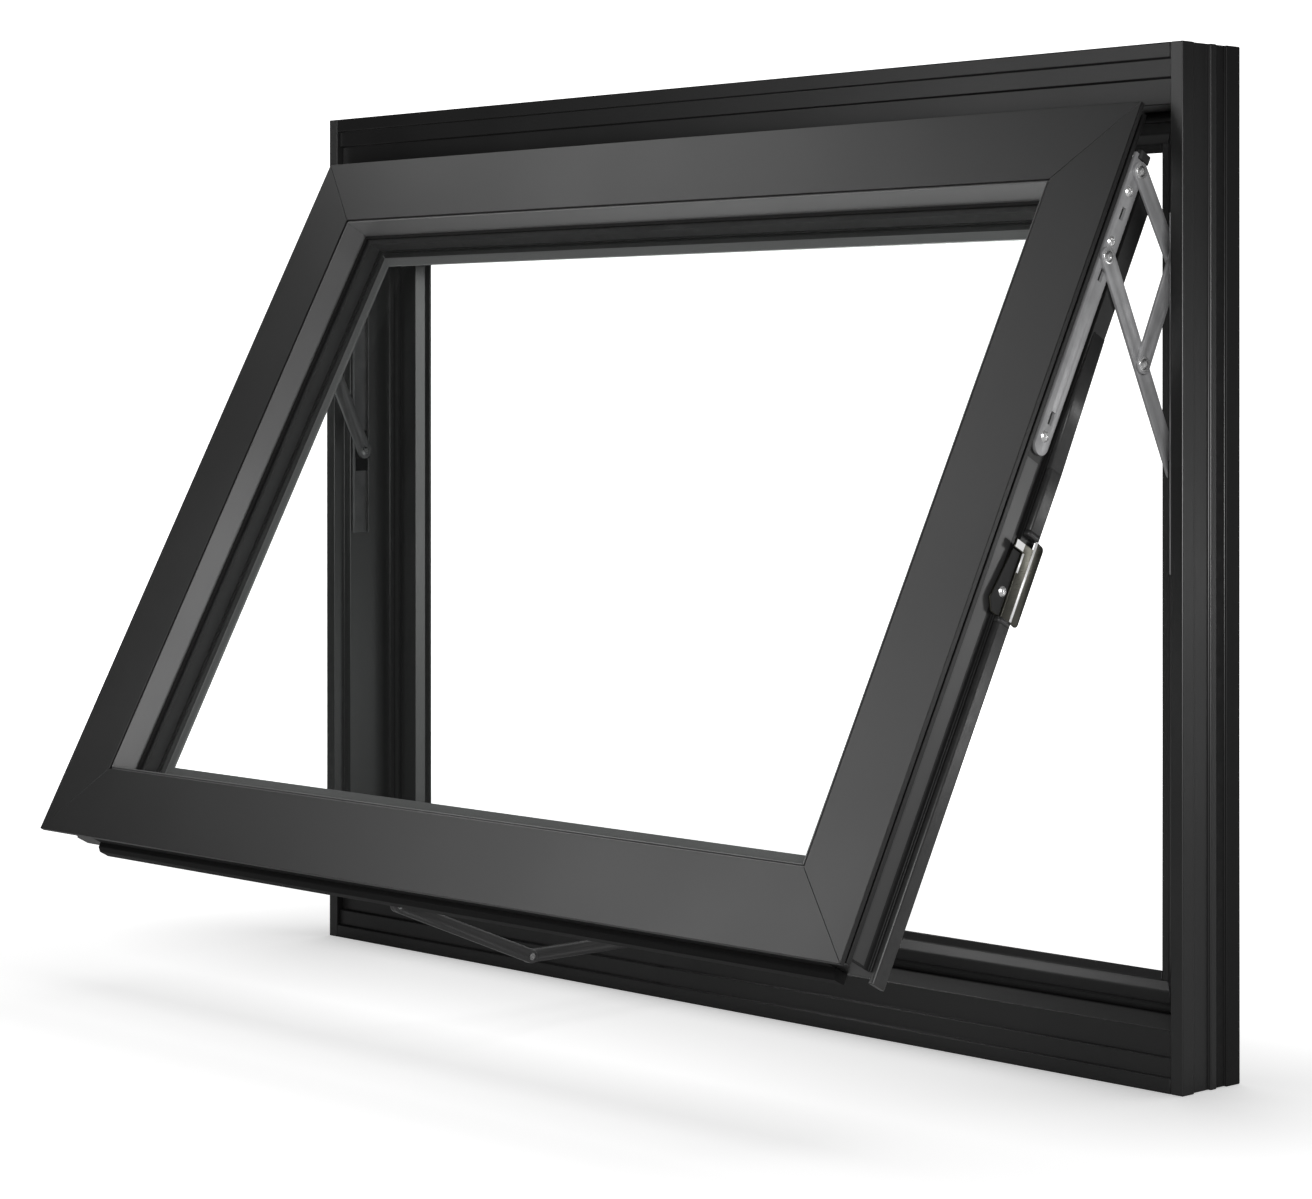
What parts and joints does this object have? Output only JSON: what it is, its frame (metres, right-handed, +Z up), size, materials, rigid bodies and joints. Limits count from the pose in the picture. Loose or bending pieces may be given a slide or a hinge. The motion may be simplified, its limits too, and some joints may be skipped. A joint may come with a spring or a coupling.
{
  "type": "top hung awning window",
  "caption": "Black aluminium top hung window, sash swung out on friction stays from a stepped outer frame, double glazed.",
  "frame": {"origin": "middle of the sill's underside, on the rib between the two lug grooves", "axes": "+X along the window to the right seen from outside, +Y in to the building, +Z up"},
  "size_m": [1.18, 0.4735, 0.9],
  "materials": {
    "frame_coat": "satin black powder coat on aluminium",
    "sash_coat": "satin black powder coat on aluminium",
    "bead_coat": "satin black powder coat on aluminium",
    "seal_rubber": "matt black weather seal",
    "clear_glass": "clear float glass",
    "spacer_black": "black warm edge spacer",
    "stay_steel": "satin stainless steel",
    "black_nylon": "moulded black nylon",
    "keeper_steel": "plated steel",
    "operator_coat": "dark grey coated steel"
  },
  "bodies": {
    "root": {"frame_head": "frame_coat", "frame_sill": "frame_coat", "frame_left_jamb": "frame_coat", "frame_right_jamb": "frame_coat", "sash_top_rail": "sash_coat", "sash_bottom_rail": "sash_coat", "sash_left_stile": "sash_coat", "sash_right_stile": "sash_coat", "drip_bar": "sash_coat", "bead_top": "bead_coat", "bead_bottom": "bead_coat", "bead_left": "bead_coat", "bead_right": "bead_coat", "frame_top_seal": "seal_rubber", "frame_bottom_seal": "seal_rubber", "frame_left_seal": "seal_rubber", "frame_right_seal": "seal_rubber", "outer_gasket": "seal_rubber", "inner_gasket": "seal_rubber", "right_stile_strip": "seal_rubber", "left_stile_strip": "seal_rubber", "outer_pane": "clear_glass", "inner_pane": "clear_glass", "pane_spacer": "spacer_black", "left_stay_track": "stay_steel", "left_stay_sash_bar": "stay_steel", "left_stay_short_arm": "stay_steel", "left_stay_long_arm": "stay_steel", "left_stay_cross_arm": "stay_steel", "left_stay_rivets": "stay_steel", "right_stay_track": "stay_steel", "right_stay_sash_bar": "stay_steel", "right_stay_short_arm": "stay_steel", "right_stay_long_arm": "stay_steel", "right_stay_cross_arm": "stay_steel", "right_stay_rivets": "stay_steel", "left_stay_bar_cap": "black_nylon", "left_stay_shoe": "black_nylon", "right_stay_bar_cap": "black_nylon", "right_stay_shoe": "black_nylon", "left_lock_keeper": "keeper_steel", "right_lock_keeper": "keeper_steel", "operator_sill_bracket": "operator_coat", "operator_sash_bracket": "operator_coat", "operator_lower_arm": "operator_coat", "operator_upper_arm": "operator_coat", "operator_pins": "operator_coat"}
  },
  "joints": []
}
